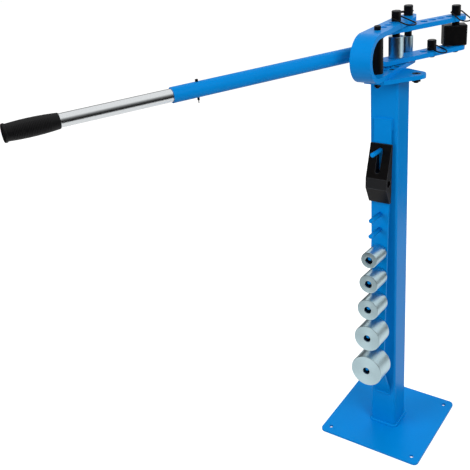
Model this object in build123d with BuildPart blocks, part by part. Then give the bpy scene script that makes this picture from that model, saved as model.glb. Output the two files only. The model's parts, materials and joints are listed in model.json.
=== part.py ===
from build123d import *
import os
from math import acos, atan2, cos, degrees, radians, sin

# Universal bender on a floor column, in millimetres.
# The origin is the middle of the base plate's underside, +Z is up, and the rack of dies is on the -Y side.

# Base plate and column
base_side = 260.0
base_thickness = 6.0
base_corner_radius = 12.0
base_edge_break = 0.8
floor_hole_spacing = 218.0
floor_hole_radius = 5.0
column_side = 63.5
column_wall = 3.0
column_corner_radius = 5.0
column_height = 908.0
foot_weld_leg = 5.0
foot_weld_rise = 5.0

# Head plate on the column, with a lug at its side
head_plate_thickness = 9.0
head_plate_front = 80.0
lug_reach = 59.0
lug_ahead = -2.0
lug_radius = 20.0

# Fixed bracket: a thick bar bent to a U that lies on its side, with a row of pin holes and tapered tips
fixed_width = 44.5
fixed_thickness = 10.0
fixed_gap = 79.0
fixed_bend_reach = 145.0
fixed_taper_run = 11.0
fixed_tip_reach = 8.0
fixed_tip_radius = 14.0
pivot_reach = 30.0
die_pin_pitch = 65.0
first_spare_hole = 18.0
spare_hole_pitch = 23.5
spare_hole_count = 3

# Countersunk screws that hold the bracket on the head plate, and the screw in the lug
plate_screw_spacing = 28.0
plate_screw_radius = 3.0
plate_screw_head_radius = 5.6
plate_screw_margin = 1.5
lug_screw_radius = 5.0
lug_screw_head_radius = 9.5
lug_nut_flats = 17.0
lug_nut_height = 8.0
countersink_angle = 90.0
head_recess = 0.5
socket_depth = 3.0
socket_share = 0.5
thread_clearance = 0.05
bolt_clearance = 0.5
bolt_end = 3.0

# Round stop sleeve between the arms of the fixed bracket, and its long bolt
stop_sleeve_radius = 11.6
stop_sleeve_chamfer = 0.8
stop_bolt_reach = 63.0
stop_bolt_radius = 4.0
stop_bolt_head_radius = 6.5
stop_bolt_head_height = 9.0
stop_bolt_head_chamfer = 0.8
stop_nut_flats = 13.0
stop_nut_height = 6.5
stop_washer_radius = 9.0
stop_washer_thickness = 2.0

# Moving bracket, with its row of pin holes, which rests just clear of the side die
moving_width = 38.1
moving_thickness = 10.0
moving_back_reach = 72.0
side_die_gap = 0.35
first_hole_reach = 74.5
hole_pitch = 23.6
hole_count = 4
follower_hole_pitch = 19.2
tip_margin = 3.0
work_pin_hole = 1
thrust_washer_thickness = 2.0
thrust_washer_radius = 16.0

# Pins with round heads and wire bails
pin_radius = 8.0
pin_clearance = 0.1
pin_head_radius = 9.8
pin_head_height = 22.0
pin_head_chamfer = 1.2
pin_tip_chamfer = 2.0
pin_end_gap = 1.0
pin_overhang = 6.0
wire_radius = 1.5
wire_clearance = 0.1
bail_reach = 54.0
bail_side_gap = 1.6
bail_bend_radius = 2.4
bail_inset = 6.0
bail_height = 8.0
bail_rest_gap = 0.8
pivot_bail_azimuth = -25.0
die_pin_bail_azimuth = 145.0
follower_bail_turn = -106.0
work_bail_reach = 38.0
work_bail_turn = -80.0

# Bending dies, which hang on the rack, and the shorter ones and the block that stand on the pins
die_length = 54.0
standing_die_length = 45.5
die_chamfer = 1.2
die_seat_gap = 0.2
pivot_die_diameter = 31.75
side_die_diameter = 22.225
stored_die_diameters = (76.2, 63.5, 50.8, 44.45, 38.1)
follower_width = 50.8
follower_depth = 30.0
follower_pin_inset = 28.0
follower_turn = -30.0
follower_edge_break = 2.0

# Lever: a socket tube welded to the moving bracket, drooping a little, and a handle tube pinned into it
lever_droop = 0.85
socket_radius = 15.2
handle_radius = 12.7
handle_wall = 2.0
handle_clearance = 0.1
socket_end_reach = 520.0
handle_overlap = 110.0
lock_pin_inset = 53.0
lock_pin_radius = 2.3
lock_pin_clearance = 0.1
lock_pin_head_radius = 3.0
lock_pin_head_height = 4.5
lock_pin_proud = 5.0
lock_pin_taper = 1.5
lock_pin_point_length = 5.0
lock_pin_point_radius = 0.9
grip_start_reach = 733.0
grip_length = 98.0
grip_mouth_radius = 14.4
grip_belly_radius = 17.0
grip_neck_radius = 15.4
grip_bead_radius = 17.0
grip_bead_length = 6.0
grip_end_wall = 4.0
grip_edge_radius = 1.5

# Rack on the front of the column: a bent flat bar with pegs
rack_width = 40.0
rack_thickness = 6.0
rack_seat = 1.0
rack_top = 828.0
rack_knee = 201.0
rack_foot = 104.0
rack_standoff = 44.0
peg_radius = 5.0
peg_length = 50.0
peg_round = 2.0
hang_gap = 0.3
lowest_die_height = 228.5
die_gap = 18.0
top_peg_pitch = 37.0

# Angle block that hangs on the top peg
angle_block_width = 50.0
angle_block_length = 135.0
angle_block_depth = 26.0
angle_block_top_land = 4.0
angle_block_foot_land = 6.0
angle_block_gap = 21.7
angle_nose_start = 37.0
angle_nose_length = 24.0
angle_bore_depth = 14.5
angle_slot_width = 11.0
angle_slot_length = 54.0
angle_slot_top_margin = 8.5

# Levels and places that follow from the sizes above
column_front = -column_side / 2
column_top = base_thickness + column_height
bracket_bottom = column_top + head_plate_thickness
lower_arm_top = bracket_bottom + fixed_thickness
middle_height = lower_arm_top + fixed_gap / 2
upper_arm_bottom = lower_arm_top + fixed_gap
bracket_top = upper_arm_bottom + fixed_thickness
fixed_inner_radius = fixed_gap / 2
fixed_bend_y = -fixed_bend_reach + fixed_thickness + fixed_inner_radius
die_pin_y = pivot_reach + die_pin_pitch
spare_hole_ys = [pivot_reach - first_spare_hole - n * spare_hole_pitch for n in range(spare_hole_count)]
plate_screw_ys = [(near + far) / 2 for near, far in zip(spare_hole_ys, spare_hole_ys[1:])]
plate_screw_xs = (-plate_screw_spacing / 2, plate_screw_spacing / 2)
plate_screw_points = [(x, y) for x in plate_screw_xs for y in plate_screw_ys]
lug_point = (lug_reach, lug_ahead)

moving_bottom = lower_arm_top + thrust_washer_thickness
moving_top = upper_arm_bottom - thrust_washer_thickness
moving_outer_radius = (moving_top - moving_bottom) / 2
moving_inner_radius = moving_outer_radius - moving_thickness
moving_bend_reach = moving_outer_radius - moving_back_reach
moving_floor = moving_bottom + moving_thickness
hole_reaches = [first_hole_reach + n * hole_pitch for n in range(hole_count)]
tip_reach = hole_reaches[-1] + follower_hole_pitch
pin_hole_radius = pin_radius + pin_clearance

lever_turn = acos((moving_width / 2 + side_die_gap + side_die_diameter / 2) / die_pin_pitch)
lever_along = Vector(cos(lever_turn), sin(lever_turn), 0)
lever_across = Vector(sin(lever_turn), -cos(lever_turn), 0)
lever_out = lever_along * -cos(radians(lever_droop)) - Vector(0, 0, sin(radians(lever_droop)))
lever_up = Vector(0, 0, cos(radians(lever_droop))) - lever_along * sin(radians(lever_droop))
pivot_point = Vector(0, pivot_reach, 0)
grip_end_reach = grip_start_reach + grip_length

rack_front_top = column_front - rack_thickness + rack_seat
rack_front_knee = column_front - rack_standoff
rack_tilt = atan2(rack_front_top - rack_front_knee, rack_top - rack_knee)
peg_along = Vector(0, -cos(rack_tilt), sin(rack_tilt))
rack_up = Vector(0, sin(rack_tilt), cos(rack_tilt))


def lever_point(reach, height):
    """Point on the lever's middle line, at a reach from the pivot pin and a height above the floor."""
    return pivot_point + lever_along * reach + Vector(0, 0, height)


def lever_plan(height):
    """Level plane with its origin on the pivot pin and its X along the moving bracket."""
    return Plane(origin=lever_point(0, height), x_dir=lever_along, z_dir=(0, 0, 1))


def tube_point(reach):
    """Point on the middle line of the lever's tubes, at a reach behind the pivot pin."""
    return lever_point(0, middle_height) + lever_out * reach


def rack_point(height):
    """Point in the middle of the rack bar's front face, at a height above the floor."""
    drop = (rack_top - height) / (rack_top - rack_knee)
    return Vector(0, rack_front_top + (rack_front_knee - rack_front_top) * drop, height)


# Sides of nuts and of socket drives, and how a solid stands on its place or hangs below it
hexagon = 6
standing = (Align.CENTER, Align.CENTER, Align.MIN)
hanging = (Align.CENTER, Align.CENTER, Align.MAX)


def write(part, label):
    """Name one finished piece and write its file."""
    part.label = label
    export_step(part, f"parts/{label}.step")


os.makedirs("parts", exist_ok=True)

# Base plate with four holes for floor anchors
with BuildPart() as base_plate:
    with BuildSketch():
        RectangleRounded(base_side, base_side, base_corner_radius)
        with GridLocations(floor_hole_spacing, floor_hole_spacing, 2, 2):
            Circle(floor_hole_radius, mode=Mode.SUBTRACT)
    extrude(amount=base_thickness)
    chamfer(base_plate.faces().sort_by(Axis.Z)[-1].outer_wire().edges(), base_edge_break)
write(base_plate.part, "base_plate")

# Column: a square tube
with BuildPart() as column_tube:
    with BuildSketch(Plane.XY.offset(base_thickness)):
        RectangleRounded(column_side, column_side, column_corner_radius)
        bore_side = column_side - 2 * column_wall
        RectangleRounded(bore_side, bore_side, column_corner_radius - column_wall, mode=Mode.SUBTRACT)
    extrude(amount=column_height)
write(column_tube.part, "column_tube")

# Weld bead round the foot of the column
with BuildPart() as foot_weld:
    with BuildSketch(Plane.XY.offset(base_thickness)):
        bead_side = column_side + 2 * foot_weld_leg
        RectangleRounded(bead_side, bead_side, column_corner_radius + foot_weld_leg)
    extrude(amount=foot_weld_rise, taper=degrees(atan2(foot_weld_leg, foot_weld_rise)))
    with BuildSketch(Plane.XY.offset(base_thickness)):
        RectangleRounded(column_side, column_side, column_corner_radius)
    extrude(amount=foot_weld_rise, mode=Mode.SUBTRACT)
write(foot_weld.part, "foot_weld")

# Head plate welded on the column: it runs forward under the fixed bracket and out to the lug
with BuildPart() as head_plate:
    with BuildSketch(Plane.XY.offset(column_top)):
        with BuildSketch(mode=Mode.PRIVATE) as plate_outline:
            RectangleRounded(column_side, column_side, column_corner_radius)
            with Locations((0, -head_plate_front / 2)):
                Rectangle(fixed_width, head_plate_front)
            with Locations(lug_point):
                Circle(lug_radius)
        make_hull(plate_outline.sketch.edges())
        with Locations(*plate_screw_points):
            Circle(plate_screw_radius + thread_clearance, mode=Mode.SUBTRACT)
        with Locations((0, -stop_bolt_reach)):
            Circle(stop_bolt_radius + bolt_clearance, mode=Mode.SUBTRACT)
    extrude(amount=head_plate_thickness)
    with Locations((*lug_point, bracket_bottom)):
        CounterSinkHole(
            lug_screw_radius + bolt_clearance,
            lug_screw_head_radius + head_recess,
            head_plate_thickness,
            countersink_angle,
        )
write(head_plate.part, "head_plate")

# Fixed bracket: the bend and both arms are one bent bar
arm_run = die_pin_y - fixed_taper_run - fixed_bend_y
with BuildPart() as fixed_bracket:
    with BuildSketch(Plane.XY.offset(bracket_bottom), Plane.XY.offset(upper_arm_bottom)):
        with BuildSketch(mode=Mode.PRIVATE) as arm_outline:
            with Locations((0, fixed_bend_y + arm_run / 2)):
                Rectangle(fixed_width, arm_run)
            with Locations((0, die_pin_y + fixed_tip_reach)):
                Circle(fixed_tip_radius)
        make_hull(arm_outline.sketch.edges())
    extrude(amount=fixed_thickness)
    with BuildSketch(Plane.YZ):
        with Locations((fixed_bend_y, middle_height)):
            Circle(fixed_inner_radius + fixed_thickness)
            Circle(fixed_inner_radius, mode=Mode.SUBTRACT)
            Rectangle(
                fixed_bend_reach,
                2 * fixed_bend_reach,
                align=(Align.MIN, Align.CENTER),
                mode=Mode.SUBTRACT,
            )
    extrude(amount=fixed_width / 2, both=True)
    with Locations(*[(0, y, bracket_top) for y in (pivot_reach, die_pin_y, *spare_hole_ys)]):
        Hole(pin_hole_radius)
    with Locations((0, -stop_bolt_reach, bracket_top)):
        Hole(stop_bolt_radius + bolt_clearance)
    with Locations(*[(*point, lower_arm_top) for point in plate_screw_points]):
        CounterSinkHole(
            plate_screw_radius + bolt_clearance,
            plate_screw_head_radius + head_recess,
            fixed_thickness,
            countersink_angle,
        )
write(fixed_bracket.part, "fixed_bracket")


def countersunk_screws(points, face, radius, head_radius, length):
    """Countersunk screws with a hexagon socket, with their heads just under a level face."""
    head_top = face - head_recess
    with BuildPart() as screws:
        for x, y in points:
            with Locations((x, y, head_top)):
                Cone(radius, head_radius, head_radius - radius, align=hanging)
                Cylinder(radius, length, align=hanging)
        with BuildSketch(Plane.XY.offset(head_top)):
            with Locations(*points):
                RegularPolygon(head_radius * socket_share, hexagon)
        extrude(amount=-socket_depth, mode=Mode.SUBTRACT)
    return screws.part


def hex_nut(x, y, top, flats, height, bore_radius):
    """Plain hexagon nut under a face."""
    with BuildPart() as nut:
        with BuildSketch(Plane.XY.offset(top)):
            with Locations((x, y)):
                RegularPolygon(flats / 2, hexagon, major_radius=False)
                Circle(bore_radius, mode=Mode.SUBTRACT)
        extrude(amount=-height)
    return nut.part


plate_screw_length = fixed_thickness - head_recess + head_plate_thickness - plate_screw_margin
write(
    countersunk_screws(
        plate_screw_points,
        lower_arm_top,
        plate_screw_radius,
        plate_screw_head_radius,
        plate_screw_length,
    ),
    "bracket_screws",
)

lug_screw_length = head_plate_thickness - head_recess + lug_nut_height + bolt_end
write(
    countersunk_screws(
        [lug_point],
        bracket_bottom,
        lug_screw_radius,
        lug_screw_head_radius,
        lug_screw_length,
    ),
    "lug_screw",
)
write(
    hex_nut(*lug_point, column_top, lug_nut_flats, lug_nut_height, lug_screw_radius + thread_clearance),
    "lug_nut",
)

# Stop sleeve: a round former that keeps the arms apart
with BuildPart() as stop_sleeve:
    with BuildSketch(Plane.XY.offset(lower_arm_top)):
        with Locations((0, -stop_bolt_reach)):
            Circle(stop_sleeve_radius)
            Circle(stop_bolt_radius + bolt_clearance, mode=Mode.SUBTRACT)
    extrude(amount=fixed_gap)
    chamfer(stop_sleeve.edges().filter_by(GeomType.CIRCLE).group_by(SortBy.RADIUS)[-1], stop_sleeve_chamfer)
write(stop_sleeve.part, "stop_sleeve")

stop_nut_top = column_top - stop_washer_thickness
stop_bolt_tip = stop_nut_top - stop_nut_height - bolt_end

# Long cap screw down through both arms, the stop sleeve and the head plate
with BuildPart() as stop_bolt:
    with Locations((0, -stop_bolt_reach, bracket_top)):
        Cylinder(stop_bolt_head_radius, stop_bolt_head_height, align=standing)
    chamfer(stop_bolt.edges().filter_by(GeomType.CIRCLE).sort_by(Axis.Z)[-1], stop_bolt_head_chamfer)
    with Locations((0, -stop_bolt_reach, bracket_top)):
        Cylinder(stop_bolt_radius, bracket_top - stop_bolt_tip, align=hanging)
    with BuildSketch(Plane.XY.offset(bracket_top + stop_bolt_head_height)):
        with Locations((0, -stop_bolt_reach)):
            RegularPolygon(stop_bolt_head_radius * socket_share, hexagon)
    extrude(amount=-stop_bolt_head_height * socket_share, mode=Mode.SUBTRACT)
write(stop_bolt.part, "stop_bolt")

with BuildPart() as stop_washer:
    with BuildSketch(Plane.XY.offset(stop_nut_top)):
        with Locations((0, -stop_bolt_reach)):
            Circle(stop_washer_radius)
            Circle(stop_bolt_radius + bolt_clearance, mode=Mode.SUBTRACT)
    extrude(amount=stop_washer_thickness)
write(stop_washer.part, "stop_washer")
write(
    hex_nut(
        0,
        -stop_bolt_reach,
        stop_nut_top,
        stop_nut_flats,
        stop_nut_height,
        stop_bolt_radius + thread_clearance,
    ),
    "stop_nut",
)

# Moving bracket: a lighter bar bent the same way, which turns on the pivot pin inside the fixed one
tip_round_reach = tip_reach + tip_margin
arm_length = tip_round_reach - moving_bend_reach
with BuildPart() as moving_bracket:
    with BuildSketch(lever_plan(moving_bottom), lever_plan(moving_top - moving_thickness)):
        with Locations((moving_bend_reach + arm_length / 2, 0)):
            Rectangle(arm_length, moving_width)
        with Locations((tip_round_reach, 0)):
            Circle(moving_width / 2)
        with Locations(*[(reach, 0) for reach in (0, *hole_reaches, tip_reach)]):
            Circle(pin_hole_radius, mode=Mode.SUBTRACT)
    extrude(amount=moving_thickness)
    with BuildSketch(Plane(origin=pivot_point, x_dir=lever_along, z_dir=lever_across)):
        with Locations((moving_bend_reach, middle_height)):
            Circle(moving_outer_radius)
            Circle(moving_inner_radius, mode=Mode.SUBTRACT)
            Rectangle(
                moving_back_reach,
                2 * moving_back_reach,
                align=(Align.MIN, Align.CENTER),
                mode=Mode.SUBTRACT,
            )
    extrude(amount=moving_width / 2, both=True)
write(moving_bracket.part, "moving_bracket")

# Washers above and below the moving bracket on the pivot pin
with BuildPart() as thrust_washers:
    with BuildSketch(lever_plan(lower_arm_top), lever_plan(moving_top)):
        Circle(thrust_washer_radius)
        Circle(pin_hole_radius, mode=Mode.SUBTRACT)
    extrude(amount=thrust_washer_thickness)
write(thrust_washers.part, "thrust_washers")


def tube(start_reach, end_reach, outer_radius, inner_radius):
    """Tube along the lever, between two reaches from the pivot pin."""
    with BuildPart() as piece:
        with BuildSketch(Plane(origin=tube_point(start_reach), z_dir=lever_out)):
            Circle(outer_radius)
            Circle(inner_radius, mode=Mode.SUBTRACT)
        extrude(amount=end_reach - start_reach)
        with BuildSketch(Plane(origin=tube_point(socket_end_reach - lock_pin_inset), z_dir=lever_up)):
            Circle(lock_pin_radius + lock_pin_clearance)
        extrude(amount=outer_radius, both=True, mode=Mode.SUBTRACT)
    return piece.part


# Socket tube of the lever, coped to the round back of the moving bracket
socket_bore_radius = handle_radius + handle_clearance
socket_blank = tube(-moving_bend_reach, socket_end_reach, socket_radius, socket_bore_radius)
with BuildPart() as lever_socket:
    add(socket_blank)
    with BuildSketch(Plane(origin=pivot_point, x_dir=lever_along, z_dir=lever_across)):
        with Locations((moving_bend_reach, middle_height)):
            Circle(moving_outer_radius)
    extrude(amount=moving_width, both=True, mode=Mode.SUBTRACT)
write(lever_socket.part, "lever_socket")

handle_start_reach = socket_end_reach - handle_overlap
handle_end_reach = grip_end_reach - grip_end_wall
write(
    tube(handle_start_reach, handle_end_reach, handle_radius, handle_radius - handle_wall),
    "handle_tube",
)

# Rubber grip, turned round the lever's middle line: mouth, belly, neck and end bead
with BuildPart() as handle_grip:
    grip_mouth = tube_point(grip_start_reach)
    with BuildSketch(Plane(origin=grip_mouth, x_dir=lever_out, z_dir=lever_up)):
        bead_start = grip_length - grip_bead_length
        with BuildLine():
            Polyline((0, grip_mouth_radius), (0, 0), (grip_length, 0), (grip_length, grip_bead_radius))
            Line((grip_length, grip_bead_radius), (bead_start, grip_bead_radius))
            Line((bead_start, grip_bead_radius), (bead_start, grip_neck_radius))
            ThreePointArc(
                (bead_start, grip_neck_radius),
                (bead_start / 2, grip_belly_radius),
                (0, grip_mouth_radius),
            )
        make_face()
    grip_axis = Axis(grip_mouth, lever_out)
    revolve(axis=grip_axis)
    fillet(handle_grip.edges().group_by(grip_axis)[-1], grip_edge_radius)
    with BuildSketch(Plane(origin=grip_mouth, z_dir=lever_out)):
        Circle(handle_radius)
    extrude(amount=grip_length - grip_end_wall, mode=Mode.SUBTRACT)
write(handle_grip.part, "handle_grip")

# Lock pin, dropped down through the socket and the handle tube
with BuildPart() as lock_pin:
    lock_pin_base = tube_point(socket_end_reach - lock_pin_inset)
    with BuildSketch(Plane(origin=lock_pin_base, x_dir=-lever_out, z_dir=lever_across)):
        shank_top = socket_radius + lock_pin_head_height
        shank_end = -socket_radius - lock_pin_proud
        point_start = shank_end - lock_pin_taper
        point_end = point_start - lock_pin_point_length
        with BuildLine():
            Polyline(
                (0, shank_top),
                (lock_pin_head_radius, shank_top),
                (lock_pin_head_radius, socket_radius),
                (lock_pin_radius, socket_radius),
                (lock_pin_radius, shank_end),
                (lock_pin_point_radius, point_start),
                (lock_pin_point_radius, point_end),
                (0, point_end),
                close=True,
            )
        make_face()
    revolve(axis=Axis(lock_pin_base, lever_up))
write(lock_pin.part, "lock_pin")


def headed_pin(place, length, bail_azimuth):
    """Pin with a round head that rests on a face, cross drilled for its wire bail."""
    turn = radians(bail_azimuth)
    with BuildPart() as pin:
        with Locations(place):
            Cylinder(pin_head_radius, pin_head_height, align=standing)
        chamfer(pin.edges().filter_by(GeomType.CIRCLE).sort_by(Axis.Z)[-1], pin_head_chamfer)
        with Locations(place):
            Cylinder(pin_radius, length, align=hanging)
        chamfer(pin.edges().filter_by(GeomType.CIRCLE).sort_by(Axis.Z)[0], pin_tip_chamfer)
        cross_place = place + Vector(0, 0, bail_height)
        with BuildSketch(Plane(origin=cross_place, z_dir=(-sin(turn), cos(turn), 0))):
            Circle(wire_radius + wire_clearance)
        extrude(amount=pin_head_radius, both=True, mode=Mode.SUBTRACT)
    return pin.part


def wire_bail(place, bail_azimuth, reach, arm_along, arm_width):
    """Wire loop hinged in the head of a pin, which leans down to the edge of the arm under it."""
    turn = radians(bail_azimuth)
    outward = Vector(cos(turn), sin(turn), 0)
    leg = pin_head_radius + bail_side_gap + wire_radius
    edge_run = (arm_width / 2 + leg * abs(outward.dot(arm_along))) / outward.cross(arm_along).length
    slope = atan2(bail_height - wire_radius - bail_rest_gap, edge_run)
    along = outward * cos(slope) - Vector(0, 0, sin(slope))
    upward = outward * sin(slope) + Vector(0, 0, cos(slope))
    bend = bail_bend_radius
    inner = pin_head_radius - bail_inset
    cross_place = place + Vector(0, 0, bail_height)
    with BuildPart() as bail:
        with BuildLine(Plane(origin=cross_place, x_dir=along, z_dir=upward)) as path:
            Line((0, inner), (0, leg - bend))
            RadiusArc((0, leg - bend), (bend, leg), bend)
            Line((bend, leg), (reach - leg, leg))
            ThreePointArc((reach - leg, leg), (reach, 0), (reach - leg, -leg))
            Line((reach - leg, -leg), (bend, -leg))
            RadiusArc((bend, -leg), (0, bend - leg), bend)
            Line((0, bend - leg), (0, -inner))
        with BuildSketch(Plane(origin=path.line @ 0, z_dir=path.line % 0)):
            Circle(wire_radius)
        sweep(path=path.line)
    return bail.part


fixed_pin_length = bracket_top - bracket_bottom - pin_end_gap
follower_pin_length = moving_top - moving_bottom + pin_overhang
work_pin_length = moving_thickness + pin_overhang
follower_bail_azimuth = degrees(lever_turn) + follower_bail_turn
work_bail_azimuth = degrees(lever_turn) + work_bail_turn
pivot_place = Vector(0, pivot_reach, bracket_top)
die_pin_place = Vector(0, die_pin_y, bracket_top)
follower_place = lever_point(tip_reach, moving_top)
work_place = lever_point(hole_reaches[work_pin_hole], moving_floor)
fixed_arm = (Vector(0, 1, 0), fixed_width)
moving_arm = (lever_along, moving_width)
pins = (
    ("pivot_pin", pivot_place, fixed_pin_length, pivot_bail_azimuth, bail_reach, fixed_arm),
    ("die_pin", die_pin_place, fixed_pin_length, die_pin_bail_azimuth, bail_reach, fixed_arm),
    ("follower_pin", follower_place, follower_pin_length, follower_bail_azimuth, bail_reach, moving_arm),
    ("work_pin", work_place, work_pin_length, work_bail_azimuth, work_bail_reach, moving_arm),
)
for pin_name, place, length, bail_azimuth, reach, arm in pins:
    write(headed_pin(place, length, bail_azimuth), pin_name)
    write(wire_bail(place, bail_azimuth, reach, *arm), f"{pin_name}_bail")


def turned_die(diameter, length, seat):
    """Round steel die with a pin bore, standing on its seat plane."""
    with BuildPart() as die:
        with BuildSketch(seat):
            Circle(diameter / 2)
            Circle(pin_hole_radius, mode=Mode.SUBTRACT)
        extrude(amount=length)
        chamfer(die.edges().filter_by(GeomType.CIRCLE), die_chamfer)
    return die.part


moving_seat = lever_plan(moving_floor + die_seat_gap)
write(turned_die(pivot_die_diameter, standing_die_length, moving_seat), "pivot_die")
side_die_seat = Plane(origin=(0, die_pin_y, lower_arm_top + die_seat_gap))
write(turned_die(side_die_diameter, standing_die_length, side_die_seat), "side_die")

# Follower block, turned a little on the pin at the moving bracket's tip
with BuildPart() as follower_block:
    with BuildSketch(moving_seat):
        with Locations(Location((tip_reach, 0, 0), (0, 0, follower_turn))):
            with Locations((follower_width / 2 - follower_pin_inset, 0)):
                Rectangle(follower_width, follower_depth)
    extrude(amount=standing_die_length)
    chamfer(follower_block.edges(), follower_edge_break)
    with Locations(lever_point(tip_reach, moving_floor + die_seat_gap + standing_die_length)):
        Hole(pin_hole_radius)
write(follower_block.part, "follower_block")

# Rack bar: it starts flat on the column, leans out downwards and turns back at its knee
with BuildPart() as rack_bar:
    with BuildSketch(Plane.YZ):
        leg_run = rack_standoff + rack_thickness
        leg_drop = (rack_knee - rack_foot) * leg_run / rack_standoff
        with BuildLine():
            Polyline(
                (rack_front_top, rack_top),
                (rack_front_knee, rack_knee),
                (rack_front_knee + leg_run, rack_knee - leg_drop),
            )
            offset(amount=rack_thickness, side=Side.LEFT, kind=Kind.INTERSECTION)
        make_face()
        with Locations((column_front, rack_knee)):
            Rectangle(column_side, 2 * rack_top, align=(Align.MIN, Align.CENTER), mode=Mode.SUBTRACT)
    extrude(amount=rack_width / 2, both=True)
write(rack_bar.part, "rack_bar")

# Stored dies stand clear of each other up the rack, and two pegs above them wait for the dies in use
rack_diameters = stored_die_diameters + (pivot_die_diameter,)
die_heights = [lowest_die_height]
for below, above in zip(rack_diameters, rack_diameters[1:]):
    die_heights.append(die_heights[-1] + (below + above) / 2 + die_gap)
die_heights.append(die_heights[-1] + top_peg_pitch)

peg_rise = pin_hole_radius - peg_radius - hang_gap
peg_places = [rack_point(height) + rack_up * peg_rise for height in die_heights]
angle_block_foot = die_heights[-1] + side_die_diameter / 2 + angle_block_gap
angle_peg_rise = angle_block_length - angle_slot_top_margin - peg_radius - hang_gap
peg_places.append(rack_point(angle_block_foot) + rack_up * angle_peg_rise)

with BuildPart() as rack_pegs:
    for place in peg_places:
        with BuildSketch(Plane(origin=place, z_dir=peg_along)):
            Circle(peg_radius)
        extrude(amount=peg_length)
        peg_tip = rack_pegs.faces(Select.LAST).sort_by(Axis(place, peg_along))[-1]
        fillet(peg_tip.edges(), peg_round)
write(rack_pegs.part, "rack_pegs")

for diameter, height in zip(stored_die_diameters, die_heights):
    seat = Plane(origin=rack_point(height) + peg_along * die_seat_gap, z_dir=peg_along)
    write(turned_die(diameter, die_length, seat), f"stored_die_{round(diameter)}")

# Angle block: a wedge with a flat nose, a pin bore along it and a slot to hang it by
with BuildPart() as angle_block:
    block_foot = rack_point(angle_block_foot) + peg_along * die_seat_gap
    block_side = Plane(origin=block_foot, x_dir=peg_along, z_dir=(-1, 0, 0))
    nose_end = angle_nose_start + angle_nose_length
    with BuildSketch(block_side):
        with BuildLine():
            Polyline(
                (0, 0),
                (angle_block_foot_land, 0),
                (angle_block_depth, angle_nose_start),
                (angle_block_depth, nose_end),
                (angle_block_top_land, angle_block_length),
                (0, angle_block_length),
                close=True,
            )
        make_face()
        with Locations((angle_bore_depth, angle_nose_start + angle_nose_length / 2)):
            Circle(pin_hole_radius, mode=Mode.SUBTRACT)
    extrude(amount=angle_block_width / 2, both=True)
    slot_middle = angle_block_length - angle_slot_top_margin - angle_slot_length / 2
    with BuildSketch(Plane(origin=block_foot + rack_up * slot_middle, x_dir=rack_up, z_dir=peg_along)):
        SlotOverall(angle_slot_length, angle_slot_width)
    extrude(amount=angle_block_depth, mode=Mode.SUBTRACT)
write(angle_block.part, "angle_block")
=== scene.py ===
# %% [markdown]
# # A hand bender on a floor column
# The machine bends bar, rod and tube: a long lever turns one U-shaped bracket inside another, round a
# pinned die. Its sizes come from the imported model, so the lesson starts by loading that as a fixed frame
# and keeping its box. Everything made below is dressing for the frame: it rides on the frame's bodies and
# never moves them.

import json
import math

import bmesh
import bpy
from mathutils import Matrix, Vector


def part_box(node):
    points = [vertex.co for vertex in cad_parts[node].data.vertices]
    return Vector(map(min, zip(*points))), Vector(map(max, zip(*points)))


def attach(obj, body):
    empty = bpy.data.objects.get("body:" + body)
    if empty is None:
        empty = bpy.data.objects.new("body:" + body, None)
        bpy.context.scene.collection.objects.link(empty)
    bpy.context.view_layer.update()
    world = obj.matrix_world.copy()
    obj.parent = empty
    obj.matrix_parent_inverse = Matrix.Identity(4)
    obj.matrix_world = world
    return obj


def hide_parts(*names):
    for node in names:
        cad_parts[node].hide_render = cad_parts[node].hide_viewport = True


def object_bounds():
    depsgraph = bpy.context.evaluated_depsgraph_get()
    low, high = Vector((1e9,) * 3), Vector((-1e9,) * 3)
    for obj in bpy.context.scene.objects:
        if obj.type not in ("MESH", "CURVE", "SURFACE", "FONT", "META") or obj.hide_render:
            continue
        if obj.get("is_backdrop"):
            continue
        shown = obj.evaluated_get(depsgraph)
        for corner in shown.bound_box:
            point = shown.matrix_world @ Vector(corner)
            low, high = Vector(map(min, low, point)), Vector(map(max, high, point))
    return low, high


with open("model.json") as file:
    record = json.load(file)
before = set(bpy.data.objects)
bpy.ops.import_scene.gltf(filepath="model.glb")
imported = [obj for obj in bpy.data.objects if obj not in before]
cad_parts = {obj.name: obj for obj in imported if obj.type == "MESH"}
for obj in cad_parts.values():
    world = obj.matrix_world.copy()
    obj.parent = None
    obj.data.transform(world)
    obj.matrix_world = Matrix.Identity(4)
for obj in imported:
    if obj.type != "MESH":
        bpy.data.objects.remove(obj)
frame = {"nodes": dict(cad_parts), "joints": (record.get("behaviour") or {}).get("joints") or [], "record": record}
cad_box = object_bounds()
MM = 0.001

# %% [markdown]
# The camera stands to the right of the rack, a little above the head, and looks down. Its place, turn and
# focal length were solved from points that are easy to name: plate corners, die bores, the tube. The
# picture's middle is below the optical axis, so the lens is shifted down by that much and no more.

# %% Camera
def placed(name, data):
    """A new object for its data, linked to the scene."""
    thing = bpy.data.objects.new(name, data)
    bpy.context.scene.collection.objects.link(thing)
    return thing


picture_side, focal_length, axis_row = 470, 736.87, 200
camera_place = Vector((627.9, -1438.9, 1324.4)) * MM
yaw, pitch, roll = (math.radians(angle) for angle in (36.5, 23.6, -4.9))
forward = Vector((-math.sin(yaw) * math.cos(pitch), math.cos(yaw) * math.cos(pitch), -math.sin(pitch)))
level = Vector((math.cos(yaw), math.sin(yaw), 0))
upright = level.cross(forward)
right = level * math.cos(roll) + upright * math.sin(roll)
top = upright * math.cos(roll) - level * math.sin(roll)
camera_turn = Matrix((right, top, -forward)).transposed().to_4x4()
lens = bpy.data.cameras.new("camera")
lens.lens = lens.sensor_width * focal_length / picture_side
lens.shift_y = (axis_row - picture_side / 2) / picture_side
camera = placed("camera", lens)
camera.matrix_world = Matrix.Translation(camera_place) @ camera_turn
bpy.context.scene.camera = camera
bpy.context.scene.view_settings.view_transform = "Standard"
print(f"camera: {lens.lens:.1f} mm lens, shifted {lens.shift_y:.3f}")

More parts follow.
